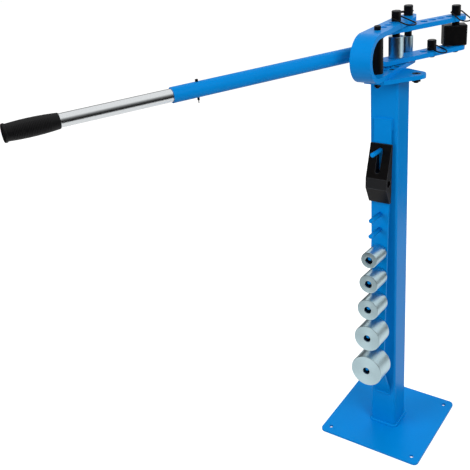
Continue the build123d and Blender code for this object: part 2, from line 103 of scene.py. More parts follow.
# %% [markdown]
# Every finish and every growing shape below is a tree of nodes, so one small function adds a node of any
# kind. It takes the node's own settings as keywords, and for each socket a value or another node's output.
# A second function turns the hex colours that artists write into the linear numbers that the renderer works
# with.

# %% Nodes and colours
def add(tree, kind, inputs=(), **settings):
    """Add one node with its settings, and set or link the inputs that are named."""
    node = tree.nodes.new(kind)
    for name, value in settings.items():
        setattr(node, name, value)
    for key, value in dict(inputs).items():
        if isinstance(value, bpy.types.NodeSocket):
            tree.links.new(value, node.inputs[key])
        else:
            node.inputs[key].default_value = value
    return node


def linear(hex_colour):
    """An sRGB hex colour as linear red, green, blue and alpha."""
    parts = [int(hex_colour[n:n + 2], 16) / 255 for n in (1, 3, 5)]
    return [p / 12.92 if p <= 0.04045 else ((p + 0.055) / 1.055) ** 2.4 for p in parts] + [1.0]


print("mid grey #808080 is", round(linear("#808080")[0], 3), "in linear light")

# %% [markdown]
# The studio is a pale floor under a white sky. Rays from the camera, and those that metal mirrors, see
# plain white. Light that falls on surfaces comes from the lamps and a dimmer sky, because a white one would
# wash out the shading. A Light Path node tells the two kinds of ray apart.

# %% Sky
def seen_directly(tree):
    """One for rays that should see the white studio: straight, mirrored or let through."""
    path = add(tree, "ShaderNodeLightPath").outputs
    mirrored = {0: path["Is Camera Ray"], 1: path["Is Glossy Ray"]}
    mirrored = add(tree, "ShaderNodeMath", mirrored, operation="MAXIMUM")
    through = {0: mirrored.outputs[0], 1: path["Is Transmission Ray"]}
    return add(tree, "ShaderNodeMath", through, operation="MAXIMUM").outputs[0]


sky_level = 0.5
world = bpy.data.worlds.new("white_studio")
bpy.context.scene.world = world
world.use_nodes = True
tree = world.node_tree
tree.nodes.clear()
strength = {"Value": seen_directly(tree), "To Min": sky_level, "To Max": 1.0}
strength = add(tree, "ShaderNodeMapRange", strength)
sky = add(tree, "ShaderNodeBackground", {"Color": linear("#FFFFFF"), "Strength": strength.outputs[0]})
add(tree, "ShaderNodeOutputWorld", {"Surface": sky.outputs[0]})
print(f"sky: white where it is seen, {sky_level} as light")

# %% [markdown]
# The floor is matt and adds a little glow for the rays that see it, so it is white in the open and still
# keeps the soft shadow. It lies a hair below the plate, because two faces in one place would flicker.

# %% Floor
floor_glow, floor_half, floor_drop = 0.8, 8.0, 0.2 * MM
pale_floor = bpy.data.materials.new("pale_studio_floor")
pale_floor.use_nodes = True
tree = pale_floor.node_tree
tree.nodes.clear()
strength = add(tree, "ShaderNodeMath", {0: seen_directly(tree), 1: floor_glow}, operation="MULTIPLY")
glow = add(tree, "ShaderNodeEmission", {"Color": linear("#FFFFFF"), "Strength": strength.outputs[0]})
matt = add(tree, "ShaderNodeBsdfDiffuse", {"Color": linear("#B4B4B4")})
both = add(tree, "ShaderNodeAddShader", {0: glow.outputs[0], 1: matt.outputs[0]})
add(tree, "ShaderNodeOutputMaterial", {"Surface": both.outputs[0]})

square = ((-1, -1), (1, -1), (1, 1), (-1, 1))
floor_corners = [(x * floor_half, y * floor_half, -floor_drop) for x, y in square]
floor_mesh = bpy.data.meshes.new("studio_floor")
floor_mesh.from_pydata(floor_corners, [], [(0, 1, 2, 3)])
floor_mesh.materials.append(pale_floor)
floor = placed("studio_floor", floor_mesh)
floor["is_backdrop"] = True
print(f"floor: {2 * floor_half:.0f} m square")

# %% [markdown]
# Bright metal shows nothing but the room, and in an all-white room it turns into a flat white shape. In a
# real studio, dark flags stand round the set for that reason. Here a tall one stands round the camera's
# side and a low one behind: they draw the dark band along the handle and the stripes on the dies. The tall
# one pales towards its top, which gives the band a soft edge.

# %% Finish of the flags
def glowing(name):
    """A bare material that only glows, and the shader whose strength is set by the caller."""
    material = bpy.data.materials.new(name)
    material.use_nodes = True
    material.node_tree.nodes.clear()
    shader = add(material.node_tree, "ShaderNodeEmission", {"Color": linear("#FFFFFF")})
    add(material.node_tree, "ShaderNodeOutputMaterial", {"Surface": shader.outputs[0]})
    return material, shader


dark_height, pale_height, dark_root = 0.85, 2.2, 0.1
flag_finish, shader = glowing("studio_flag")
tree = flag_finish.node_tree
place = add(tree, "ShaderNodeTexCoord").outputs["Object"]
height = add(tree, "ShaderNodeSeparateXYZ", {"Vector": place}).outputs["Z"]
fade = {"Value": height, "From Min": dark_height, "From Max": pale_height, "To Min": dark_root, "To Max": 1.0}
fade = add(tree, "ShaderNodeMapRange", fade)
pale = add(tree, "ShaderNodeMath", {0: fade.outputs[0], 1: 2.0}, operation="POWER")
tree.links.new(pale.outputs[0], shader.inputs["Strength"])
print(f"flags: strength {dark_root ** 2:.2f} up to {dark_height} m, white at {pale_height} m")

# %% [markdown]
# A gap on the right leaves a bright stripe on the dies in the head. A pale sheet on the floor keeps the
# tube's underside from melting into the background. Only mirrored rays can see the flags and the sheet, so
# the picture itself stays white and the light on the machine stays even.

# %% Flags and floor sheet
def reflected_only(name, corners, faces, finish):
    """A sheet that nothing but mirrored rays can see."""
    mesh = bpy.data.meshes.new(name)
    mesh.from_pydata(corners, [], faces)
    mesh.materials.append(finish)
    sheet = placed(name, mesh)
    for ray in ("camera", "diffuse", "transmission", "volume_scatter", "shadow"):
        setattr(sheet, "visible_" + ray, False)
    sheet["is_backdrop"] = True


flag_radius, flag_step, low_height, sheet_strength = 1.3, 5, 0.6, 0.95
turns = [math.radians(angle) for angle in range(0, 361, flag_step)]
circle = [(flag_radius * math.cos(turn), flag_radius * math.sin(turn)) for turn in turns]
for name, first, last, height in (("low_flag", 45, 130, low_height), ("tall_flag", 130, 360, pale_height)):
    arc = circle[first // flag_step:last // flag_step + 1]
    corners = [(x, y, z) for x, y in arc for z in (0, height)]
    faces = [(n, n + 2, n + 3, n + 1) for n in range(0, len(corners) - 2, 2)]
    reflected_only(name, corners, faces, flag_finish)
    print(f"{name}: {height} m high, {last - first} degrees round at {flag_radius} m")
sheet_finish, shader = glowing("pale_studio_sheet")
shader.inputs["Strength"].default_value = sheet_strength
reflected_only("floor_sheet", [(x, y, 0) for x, y in circle[:-1]], [range(len(circle) - 1)], sheet_finish)

# %% [markdown]
# Three large soft lamps do the rest: a main one high on the right, a broad one on the left, and one from
# behind. They stay out of reflections, where they would burn white spots into the tube and grey the paint:
# what metal shows is the white studio and its flags.

# %% Lamps
def soft_lamp(name, place, aim, size, power):
    """A square lamp that looks from its place to its aim."""
    lamp = bpy.data.lights.new(name, "AREA")
    lamp.size, lamp.energy = size, power
    holder = placed(name, lamp)
    turn = (Vector(place) - Vector(aim)).to_track_quat("Z", "Y")
    holder.matrix_world = Matrix.Translation(place) @ turn.to_matrix().to_4x4()
    holder.visible_glossy = False
    return holder


lamps = [
    soft_lamp("main_lamp", place=(2.2, -1.2, 2.6), aim=(0, 0, 0.5), size=1.6, power=56),
    soft_lamp("side_lamp", place=(-2.0, -2.4, 1.8), aim=(0, 0, 0.6), size=2.0, power=52),
    soft_lamp("back_lamp", place=(-0.6, 2.4, 2.4), aim=(0, 0, 0.7), size=1.8, power=30),
]
print("lamps:", ", ".join(f"{lamp.name} {lamp.data.energy:.0f} W" for lamp in lamps))

# %% [markdown]
# Each finish starts from the same three nodes: an output, one shader and the object's own coordinates. The
# coordinates are in metres, so a noise scale of one over a real size draws features of that size. A Mix
# node has sockets of the same name for numbers, vectors and colours, so those for colours are taken by
# their number.

# %% Start of a finish
COLOUR_A, COLOUR_B, COLOUR_OUT = 6, 7, 2


def new_finish(name):
    """A bare material, its tree, its shader and its object coordinates."""
    material = bpy.data.materials.new(name)
    material.use_nodes = True
    tree = material.node_tree
    tree.nodes.clear()
    shader = add(tree, "ShaderNodeBsdfPrincipled")
    add(tree, "ShaderNodeOutputMaterial", {"Surface": shader.outputs[0]})
    return material, tree, shader, add(tree, "ShaderNodeTexCoord").outputs["Object"]


def link(tree, shader, **sockets):
    """Link outputs to the shader's sockets, whose names are written with _ for a space."""
    for name, output in sockets.items():
        tree.links.new(output, shader.inputs[name.replace("_", " ")])


print("a Mix node takes its colours on sockets", COLOUR_A, "and", COLOUR_B, "and gives one on", COLOUR_OUT)

# %% [markdown]
# **Blue powder coat.** Polyester powder is sprayed on dry and melted in an oven, so it flows into a thick,
# glossy skin with a faint orange peel about 2 mm wide and soft edges. The colour is even, with only a
# slight cloudiness. The peel goes to the bump alone, because paint has the same colour on a hill and in a
# hollow.

# %% Blue powder coat
peel_width, cloud_width = 2 * MM, 60 * MM
blue_paint, tree, shader, place = new_finish("blue_powder_coat")
peel = add(tree, "ShaderNodeTexNoise", {"Vector": place, "Scale": 1 / peel_width, "Detail": 1.5})
cloud = add(tree, "ShaderNodeTexNoise", {"Vector": place, "Scale": 1 / cloud_width, "Detail": 3.0})
tint = {0: cloud.outputs["Fac"], COLOUR_A: linear("#007BC8"), COLOUR_B: linear("#0084D4")}
colour = add(tree, "ShaderNodeMix", tint, data_type="RGBA").outputs[COLOUR_OUT]
gloss = add(tree, "ShaderNodeMapRange", {"Value": cloud.outputs["Fac"], "To Min": 0.26, "To Max": 0.38})
bump = add(tree, "ShaderNodeBump", {"Strength": 0.1, "Distance": 0.03 * MM, "Height": peel.outputs["Fac"]})
shader.inputs["Specular IOR Level"].default_value = 0.07
link(tree, shader, Base_Color=colour, Roughness=gloss.outputs[0], Normal=bump.outputs[0])
print(f"finish: {blue_paint.name}, peel {peel_width / MM:.1f} mm wide")

# %% [markdown]
# ** Black oxide.** Pins, bolts and blocks are dipped in hot salts that turn the steel's own skin black, then
# oiled. It is a dark, half-dull metal with brownish and bluish patches and the fine scratches of the
# machining under it. Handling wears the skin off the edges first, and the rounds also catch the light, so
# those faces are painted paler: partly wear, partly a painted highlight. An attribute for wear and sheen
# is one on those faces.

# %% Black oxide steel
patch_width, grit_width = 9 * MM, 0.6 * MM
black_steel, tree, shader, place = new_finish("black_oxide_steel")
patches = add(tree, "ShaderNodeTexNoise", {"Vector": place, "Scale": 1 / patch_width, "Detail": 4.0})
grit = add(tree, "ShaderNodeTexNoise", {"Vector": place, "Scale": 1 / grit_width, "Detail": 2.0})
tint = {0: patches.outputs["Fac"], COLOUR_A: linear("#0D0E11"), COLOUR_B: linear("#171412")}
skin = add(tree, "ShaderNodeMix", tint, data_type="RGBA").outputs[COLOUR_OUT]
wear_and_sheen = add(tree, "ShaderNodeAttribute", attribute_name="wear_and_sheen")
# Pale grey on the rounds: partly wear, partly a painted highlight.
tint = {0: wear_and_sheen.outputs["Fac"], COLOUR_A: skin, COLOUR_B: linear("#4A4C50")}
colour = add(tree, "ShaderNodeMix", tint, data_type="RGBA").outputs[COLOUR_OUT]
gloss = add(tree, "ShaderNodeMapRange", {"Value": patches.outputs["Fac"], "To Min": 0.34, "To Max": 0.52})
bump = add(tree, "ShaderNodeBump", {"Strength": 0.15, "Distance": 0.02 * MM, "Height": grit.outputs["Fac"]})
shader.inputs["Metallic"].default_value = 0.5
shader.inputs["Specular IOR Level"].default_value = 0.2
link(tree, shader, Base_Color=colour, Roughness=gloss.outputs[0], Normal=bump.outputs[0])
print(f"finish: {black_steel.name}, patches {patch_width / MM:.1f} mm wide")

# %% [markdown]
# **Turned steel.** A lathe tool leaves a fine spiral on a die: rings on its ends and threads round its
# side. Both are one pattern along the cut, so the shader reads an attribute named feed, the tool's way over
# the profile. The real pitch of 0.2 mm is far too fine to show here, so it is drawn at 0.9 mm. The marks
# also stretch highlights across them, which the shader's anisotropy gives along the turning direction.

# %% Turned steel
drawn_pitch, oil_width = 0.9 * MM, 14 * MM
turned_steel, tree, shader, place = new_finish("turned_steel")
feed = add(tree, "ShaderNodeAttribute", attribute_name="feed")
steps = add(tree, "ShaderNodeMath", {0: feed.outputs["Fac"], 1: 1 / drawn_pitch}, operation="MULTIPLY")
marks = {"W": steps.outputs[0], "Scale": 1.0, "Detail": 3.0}
marks = add(tree, "ShaderNodeTexNoise", marks, noise_dimensions="1D")
oil = add(tree, "ShaderNodeTexNoise", {"Vector": place, "Scale": 1 / oil_width, "Detail": 3.0})
tint = {0: marks.outputs["Fac"], COLOUR_A: linear("#AFC9D1"), COLOUR_B: linear("#CCE3E9")}
colour = add(tree, "ShaderNodeMix", tint, data_type="RGBA").outputs[COLOUR_OUT]
gloss = add(tree, "ShaderNodeMapRange", {"Value": oil.outputs["Fac"], "To Min": 0.26, "To Max": 0.42})
bump = add(tree, "ShaderNodeBump", {"Strength": 0.25, "Distance": 0.03 * MM, "Height": marks.outputs["Fac"]})
turning = add(tree, "ShaderNodeTangent", direction_type="UV_MAP", uv_map="turning")
shader.inputs["Metallic"].default_value = 1.0
shader.inputs["Anisotropic"].default_value = 0.6
link(tree, shader, Base_Color=colour, Roughness=gloss.outputs[0], Normal=bump.outputs[0],
     Tangent=turning.outputs[0])
print(f"finish: {turned_steel.name}, marks {drawn_pitch / MM:.1f} mm apart")

# %% [markdown]
# The lever points away to one side and droops a little, so its finish, its grip and its weld need its own
# direction. That runs from the lever's hinge, which is one of the frame's joints, to the middle of the
# grip.

# %% Direction of the lever
joints = {joint["name"]: joint for joint in frame["joints"]}
pivot = Vector(joints["lever_swing"]["pos_m"])
grip_low, grip_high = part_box("handle_grip")
lever_back = ((grip_low + grip_high) / 2 - pivot).normalized()
lever_turn = math.atan2(lever_back.y, lever_back.x)
lever_droop = math.asin(-lever_back.z)
print(f"lever: turned {math.degrees(lever_turn):.1f} degrees, drooping {math.degrees(lever_droop):.2f}")

# %% [markdown]
# **Bright zinc plate.** The handle is drawn steel tube with a bright zinc coat: a clear mirror that is
# broken only by fine draw lines along the tube. A Mapping node turns the pattern to the lever's direction
# and stretches it along it.

# %% Bright zinc plate
line_length, line_width = 90 * MM, 0.7 * MM
zinc_plate, tree, shader, place = new_finish("bright_zinc_plate")
stretch = (1 / line_length, 1 / line_width, 1 / line_width)
along = add(tree, "ShaderNodeMapping", {"Vector": place, "Rotation": (0, 0, -lever_turn), "Scale": stretch})
lines = add(tree, "ShaderNodeTexNoise", {"Vector": along.outputs[0], "Scale": 1.0})
tint = {0: lines.outputs["Fac"], COLOUR_A: linear("#D0D4D6"), COLOUR_B: linear("#E4E7E9")}
colour = add(tree, "ShaderNodeMix", tint, data_type="RGBA").outputs[COLOUR_OUT]
gloss = add(tree, "ShaderNodeMapRange", {"Value": lines.outputs["Fac"], "To Min": 0.2, "To Max": 0.28})
bump = add(tree, "ShaderNodeBump", {"Strength": 0.1, "Distance": 0.01 * MM, "Height": lines.outputs["Fac"]})
shader.inputs["Metallic"].default_value = 1.0
link(tree, shader, Base_Color=colour, Roughness=gloss.outputs[0], Normal=bump.outputs[0])
print(f"finish: {zinc_plate.name}, lines {line_width / MM:.1f} mm wide")

# %% [markdown]
# **Moulded rubber.** The grip is black rubber from a mould: dull, with the fine grain of the mould's
# blasted wall and faint smears where hands have wiped it.

# %% Moulded rubber
grain_width, smear_width = 0.5 * MM, 20 * MM
rubber, tree, shader, place = new_finish("moulded_rubber")
grain = add(tree, "ShaderNodeTexNoise", {"Vector": place, "Scale": 1 / grain_width, "Detail": 2.0})
smears = add(tree, "ShaderNodeTexNoise", {"Vector": place, "Scale": 1 / smear_width, "Detail": 2.0})
tint = {0: smears.outputs["Fac"], COLOUR_A: linear("#0A0A0B"), COLOUR_B: linear("#101011")}
colour = add(tree, "ShaderNodeMix", tint, data_type="RGBA").outputs[COLOUR_OUT]
gloss = add(tree, "ShaderNodeMapRange", {"Value": smears.outputs["Fac"], "To Min": 0.44, "To Max": 0.6})
bump = add(tree, "ShaderNodeBump", {"Strength": 0.25, "Distance": 0.04 * MM, "Height": grain.outputs["Fac"]})
shader.inputs["Specular IOR Level"].default_value = 0.2
link(tree, shader, Base_Color=colour, Roughness=gloss.outputs[0], Normal=bump.outputs[0])
print(f"finish: {rubber.name}, grain {grain_width / MM:.1f} mm wide")

# %% [markdown]
# A finished piece is put to the frame in one way: its mesh gets the finish of its slot, it rides on a body,
# and the nodes of the frame that it stands for are hidden. The slot and the body of a node come from the
# frame's own record, so they can't drift apart from it.

# %% Put a piece to the frame
finishes = {
    "blue_paint": blue_paint,
    "black_steel": black_steel,
    "turned_steel": turned_steel,
    "zinc_tube": zinc_plate,
    "rubber_grip": rubber,
}
node_slots = {part["node"]: part["material_slot"] for part in frame["record"]["subparts"]}
body_nodes = frame["record"]["behaviour"]["bodies"]
node_bodies = {node: body for body, nodes in body_nodes.items() for node in nodes}


def set_on_frame(name, mesh, body, slot, *nodes):
    """Link a finished mesh to the scene as a piece that rides on a body."""
    mesh.materials.clear()
    mesh.materials.append(finishes[slot])
    piece = placed(name, mesh)
    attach(piece, body)
    if nodes:
        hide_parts(*nodes)
    return piece


slot_list = list(node_slots.values())
print("slots:", ", ".join(f"{slot} on {slot_list.count(slot)} nodes" for slot in finishes))

# %% [markdown]
# A node of the frame is a mesh of loose triangles, which no modifier can round. So a copy is merged, and
# the triangles of each flat are joined to one face again. Modifiers then work on a short-lived object, and
# what comes out is read back as a plain mesh, because the frame wants meshes.

# %% Copies to work on
double_distance, flat_angle = 0.002 * MM, math.radians(0.1)


def joined_mesh(node):
    """A merged copy of a node's mesh, with the triangles of each flat joined to one face."""
    shape = bmesh.new()
    shape.from_mesh(frame["nodes"][node].data)
    bmesh.ops.remove_doubles(shape, verts=shape.verts, dist=double_distance)
    bmesh.ops.dissolve_limit(shape, angle_limit=flat_angle, verts=shape.verts, edges=shape.edges)
    for face in shape.faces:
        face.smooth = True
    mesh = bpy.data.meshes.new(node + ".joined")
    shape.to_mesh(mesh)
    shape.free()
    return mesh


def evaluated(mesh, prepare):
    """The mesh with the modifiers that prepare adds to a short-lived object."""
    bench = placed("bench", mesh)
    prepare(bench)
    result = bpy.data.meshes.new_from_object(bench.evaluated_get(bpy.context.evaluated_depsgraph_get()))
    bpy.data.objects.remove(bench)
    return result


print("loose triangles:", sum(len(node.data.polygons) for node in frame["nodes"].values()))

# %% [markdown]
# ** Broken edges.** No real bar has knife edges: shears, files and thick paint round them, and that thin
# round catches the light. A shader can fake that, but not in the outline, so a Bevel rounds each edge that
# is sharper than 30 degrees, and weighted normals keep the flats flat. Some edges of the angle block are
# blunter, so its limit is finer. The rounds get a material slot of their own, number one, and that number
# becomes the attribute for wear and sheen, with which the black oxide paints its rounds paler.

# %% Softened copies of the bars and blocks
edge_steps, usual_angle, fine_angles = 3, 30, {"angle_block": 12}
flats_slot, rounds_slot = range(2)


def keep_flats(bench):
    """Weighted normals, so that wide flats stay flat beside small rounds."""
    bench.modifiers.new("normals", "WEIGHTED_NORMAL").keep_sharp = True


def softened(node, round_mm):
    """A copy of a node with rounded edges, set on the frame in its place."""
    def prepare(bench):
        if round_mm:
            bevel = bench.modifiers.new("edges", "BEVEL")
            bevel.width, bevel.segments = round_mm * MM, edge_steps
            bevel.angle_limit = math.radians(fine_angles.get(node, usual_angle))
            bevel.material = rounds_slot
        keep_flats(bench)
    blank = joined_mesh(node)
    for _ in (flats_slot, rounds_slot):
        blank.materials.append(None)
    mesh = evaluated(blank, prepare)
    slots = [face.material_index for face in mesh.polygons]
    # The rounds carry one here: the black oxide paints them paler, partly wear and partly a painted highlight.
    mesh.attributes.new("wear_and_sheen", "FLOAT", "FACE").data.foreach_set("value", slots)
    mesh.polygons.foreach_set("material_index", [flats_slot] * len(slots))
    return set_on_frame(node + ".finished", mesh, node_bodies[node], node_slots[node], node)


edge_rounds = {
    "base_plate": 0.6, "column_tube": 0.5, "head_plate": 1.0, "fixed_bracket": 1.2, "moving_bracket": 1.0,
    "lever_socket": 0.6, "rack_bar": 0.8, "rack_pegs": 0, "handle_tube": 0.4, "stop_sleeve": 0.3,
    "stop_bolt": 0.4, "stop_washer": 0.4, "stop_nut": 0.6, "lug_screw": 0.3, "lug_nut": 0.6,
    "bracket_screws": 0.3, "thrust_washers": 0.3, "follower_block": 0.6, "angle_block": 2.0, "lock_pin": 0.3,
}
for pin in ("pivot_pin", "die_pin", "follower_pin", "work_pin"):
    edge_rounds[pin] = 0.4
    edge_rounds[pin + "_bail"] = 0.2
softened_pieces = [softened(node, round_mm) for node, round_mm in edge_rounds.items()]
face_count = sum(len(piece.data.polygons) for piece in softened_pieces)
print("softened:", len(softened_pieces), "pieces,", face_count, "faces")

# %% [markdown]
# The angle block bends bars over its flat nose. That nose gets a painted highlight: its faces are set part
# way to the pale grey of the rounds. The nose is the only flat that looks straight along the block's peg,
# which is how its faces are found.

# %% Painted highlight on the angle block's nose
nose_sheen, nose_match = 0.3, 0.999
nose_way = Vector(joints["angle_block_slide"]["axis"])
block = next(piece for piece in softened_pieces if piece.name == "angle_block.finished").data
nose = [face.index for face in block.polygons if face.normal.dot(nose_way) > nose_match]
# Painted highlight: the nose faces are set part way to the pale edge grey.
for index in nose:
    block.attributes["wear_and_sheen"].data[index].value = nose_sheen
print("nose:", len(nose), "faces,", round(sum(block.polygons[n].area for n in nose) / MM ** 2), "square mm")

# %% [markdown]
# Some pieces grow in Geometry Nodes, from a rule. Each tree gets one named input for each size, so that one
# tree serves several pieces, and it ends in real geometry with a finish, because the export drops
# instances.

# %% Start and end of a tree
def shape_tree(name, sizes):
    """An empty Geometry Nodes tree with a geometry in and out and one named input for each size."""
    tree = bpy.data.node_groups.new(name, "GeometryNodeTree")
    tree.interface.new_socket(name="Geometry", in_out="OUTPUT", socket_type="NodeSocketGeometry")
    tree.interface.new_socket(name="Geometry", in_out="INPUT", socket_type="NodeSocketGeometry")
    for size, kind in sizes.items():
        tree.interface.new_socket(name=size, in_out="INPUT", socket_type="NodeSocket" + kind)
    return tree, add(tree, "NodeGroupInput").outputs


def close_tree(tree, shape, finish):
    """End a tree in real geometry with its finish."""
    real = add(tree, "GeometryNodeRealizeInstances", {"Geometry": shape})
    smooth = add(tree, "GeometryNodeSetShadeSmooth", {"Geometry": real.outputs[0]})
    painted = add(tree, "GeometryNodeSetMaterial", {"Geometry": smooth.outputs[0], "Material": finish})
    add(tree, "NodeGroupOutput", {"Geometry": painted.outputs[0]})


print("trees so far:", len(bpy.data.node_groups))

# %% [markdown]
# **A lathe in nodes.** Dies and the grip are turned shapes: one outline carried round an axis. A Screw
# modifier could do that, but this tree, which sweeps the outline along a small circle, also keeps how far
# round each point lies. The steel's anisotropy and the grip's ribs need that.

# %% The lathe tree
spindle_radius, seam_distance = 1 * MM, 0.01 * MM
lathe, given = shape_tree("lathe", {
    "Segments": "Int", "Turn": "Vector", "Middle": "Vector", "Finish": "Material",
})
outline = add(lathe, "GeometryNodeMeshToCurve", {"Mesh": given["Geometry"]})
inset = {"Geometry": outline.outputs[0], "Translation": (-spindle_radius, 0, 0)}
outline = add(lathe, "GeometryNodeTransform", inset)
spindle = {"Resolution": given["Segments"], "Radius": spindle_radius}
spindle = add(lathe, "GeometryNodeCurvePrimitiveCircle", spindle)
spindle = add(lathe, "GeometryNodeSetCurveNormal", {"Curve": spindle.outputs[0]}, mode="Z_UP")
share = add(lathe, "GeometryNodeSplineParameter").outputs["Factor"]
spindle = add(lathe, "GeometryNodeStoreNamedAttribute",
              {"Geometry": spindle.outputs[0], "Name": "round", "Value": share},
              data_type="FLOAT", domain="POINT")
turned = {"Curve": spindle.outputs[0], "Profile Curve": outline.outputs[0]}
turned = add(lathe, "GeometryNodeCurveToMesh", turned)
turned = {"Geometry": turned.outputs[0], "Distance": seam_distance}
turned = add(lathe, "GeometryNodeMergeByDistance", turned)
round_share = add(lathe, "GeometryNodeInputNamedAttribute", {"Name": "round"}, data_type="FLOAT")
feed_way = add(lathe, "GeometryNodeInputNamedAttribute", {"Name": "feed"}, data_type="FLOAT")
chart = add(lathe, "ShaderNodeCombineXYZ", {"X": round_share.outputs[0], "Y": feed_way.outputs[0]})
turned = add(lathe, "GeometryNodeStoreNamedAttribute",
             {"Geometry": turned.outputs[0], "Name": "turning", "Value": chart.outputs[0]},
             data_type="FLOAT2", domain="CORNER")
turned = add(lathe, "GeometryNodeTransform",
             {"Geometry": turned.outputs[0], "Rotation": given["Turn"], "Translation": given["Middle"]})
close_tree(lathe, turned.outputs[0], given["Finish"])
print("lathe:", len(lathe.nodes), "nodes")

# %% [markdown]
# A tree runs as a modifier on a short-lived object that holds the outline. The outline's points carry the
# length of the way to them, and the tree's inputs are set by the sockets' identifiers. A sweep may come out
# inside out, so its faces are turned outwards afterwards.

# %% Run a tree
def way_along(points):
    """The length of the way to each point."""
    lengths = [0.0]
    for a, b in zip(points, points[1:]):
        lengths.append(lengths[-1] + (Vector(b) - Vector(a)).length)
    return lengths


def outline_mesh(points, feed, closed):
    """Points joined by edges, each with the length of the way to it."""
    count = len(points)
    mesh = bpy.data.meshes.new("outline")
    mesh.from_pydata(points, [(n, (n + 1) % count) for n in range(count if closed else count - 1)], [])
    mesh.attributes.new("feed", "FLOAT", "POINT").data.foreach_set("value", feed)
    return mesh


def grown(tree, mesh, **sizes):
    """A plain mesh from a tree that runs on a mesh. A size's name is written with _ for a space."""
    def prepare(bench):
        run = bench.modifiers.new(tree.name, "NODES")
        run.node_group = tree
        for socket in tree.interface.items_tree:
            key = socket.name.replace(" ", "_")
            if socket.in_out == "INPUT" and key in sizes:
                run[socket.identifier] = sizes[key]
    return evaluated(mesh, prepare)


def facing_out(mesh):
    """Turn all faces of a closed mesh outwards."""
    shape = bmesh.new()
    shape.from_mesh(mesh)
    bmesh.ops.recalc_face_normals(shape, faces=shape.faces)
    shape.to_mesh(mesh)
    shape.free()
    return mesh


print("the way round a corner of 3 and 4 m is", way_along([(0, 0, 0), (3, 0, 0), (3, 4, 0)])[-1], "m")

# %% [markdown]
# **The dies.** Seven steel rolls in inch sizes, all with the same bore. Two short ones are pinned in the
# head and five hang on the rack's pegs, which point up a little. The outline is a rectangle with small
# rounded chamfers. A die's place and size are read off its node's box, and a tilted die's length from the
# depth of that box.

# %% Dies
die_bore, die_chamfer, die_segments, chamfer_steps = 8.1 * MM, 1.2 * MM, 128, 3
peg_axis = joints["stored_die_76_slide"]["axis"]
peg_lean = math.atan2(-peg_axis[1], peg_axis[2])


def die_outline(radius, length):
    """The closed half section of a die, as radius and height, with its corners rounded."""
    half = length / 2
    corners = ((radius, -half, -1, 1), (radius, half, -1, -1),
               (die_bore, half, 1, -1), (die_bore, -half, 1, 1))
    points = []
    for number, (x, y, inward, upward) in enumerate(corners):
        for step in range(chamfer_steps + 1):
            angle = math.pi / 2 * step / chamfer_steps
            a, b = 1 - math.sin(angle), 1 - math.cos(angle)
            a, b = (a, b) if number % 2 == 0 else (b, a)
            points.append((x + inward * a * die_chamfer, y + upward * b * die_chamfer, 0))
    return points


def make_die(node):
    """A turned die in the place of its node."""
    low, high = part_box(node)
    stored = node.startswith("stored")
    radius = (high.x - low.x) / 2
    turn = (peg_lean if stored else 0, 0, 0)
    across = 2 * (radius - die_chamfer) * abs(math.cos(turn[0]))
    length = (high.y - low.y - across) / abs(math.sin(turn[0])) if stored else high.z - low.z
    outline = die_outline(radius, length)
    blank = outline_mesh(outline, way_along(outline), closed=True)
    mesh = grown(lathe, blank, Segments=die_segments, Turn=turn, Middle=(low + high) / 2, Finish=turned_steel)
    mesh = evaluated(facing_out(mesh), keep_flats)
    set_on_frame(node + ".turned", mesh, node_bodies[node], node_slots[node], node)
    print(f"{node}: {2 * radius / MM:.2f} mm across, {length / MM:.1f} mm long")


for node, slot in node_slots.items():
    if slot == "turned_steel":
        make_die(node)

# %% [markdown]
# **The grip.** It is pushed on the tube's end: a thin mouth, a belly for the palm, a neck and an end bead
# that keeps the hand on, with a vent dimple in its end. The belly is one parabola through three radii,
# because a chain of straight cones would show as rings in the light. Its points lie close together, so that
# ribs can be lifted.

# %% Outline of the grip
grip_length, mouth_radius, belly_radius, neck_radius, bead_radius = (
    value * MM for value in (98, 14.4, 17, 15.4, 17)
)
tube_radius, bead_length, bead_round, bead_steps = 12.7 * MM, 6 * MM, 1.8 * MM, 5
mouth_round, dimple_radius, dimple_depth, ring_step = 0.8 * MM, 3 * MM, 1.2 * MM, 0.4 * MM
bead_start = grip_length - bead_length


def grip_radius(way):
    """Radius of the grip's belly, on a parabola through mouth, belly and neck."""
    t = way / bead_start
    return (2 * (t - 0.5) * (t - 1) * mouth_radius - 4 * t * (t - 1) * belly_radius
            + 2 * t * (t - 0.5) * neck_radius)


def grip_outline():
    """Radius and way from the mouth's inner edge over the belly and the bead to the middle of the end."""
    points = [(tube_radius, 0.3 * MM), (mouth_radius - mouth_round, 0), (mouth_radius - 0.2 * MM, 0.25 * MM)]
    rings = int(bead_start / ring_step)
    points += [(grip_radius(n * ring_step), n * ring_step) for n in range(2, rings - 2)]
    points.append((neck_radius + 0.25 * MM, bead_start - 0.5 * MM))
    for middle_way, first in ((bead_start + bead_round, -90), (grip_length - bead_round, 0)):
        for angle in (math.radians(first + 90 * n / bead_steps) for n in range(bead_steps + 1)):
            radius = bead_radius - bead_round + bead_round * math.cos(angle)
            points.append((radius, middle_way + bead_round * math.sin(angle)))
    points += [(dimple_radius + 0.6 * MM, grip_length), (dimple_radius, grip_length - 0.4 * MM)]
    points += [(dimple_radius - 0.3 * MM, grip_length - dimple_depth), (0, grip_length - dimple_depth)]
    return points


grip_points = grip_outline()
print("grip outline:", len(grip_points), "points over", round(grip_length / MM), "mm")

# %% [markdown]
# Two panels of fine ribs run along the grip. Bump could show them from the front, but not on the outline,
# so a second tree lifts the surface along its own normals. One wave along the way makes the ribs, one round
# the grip makes the panels, and two limits keep the ribs off the mouth and the bead.

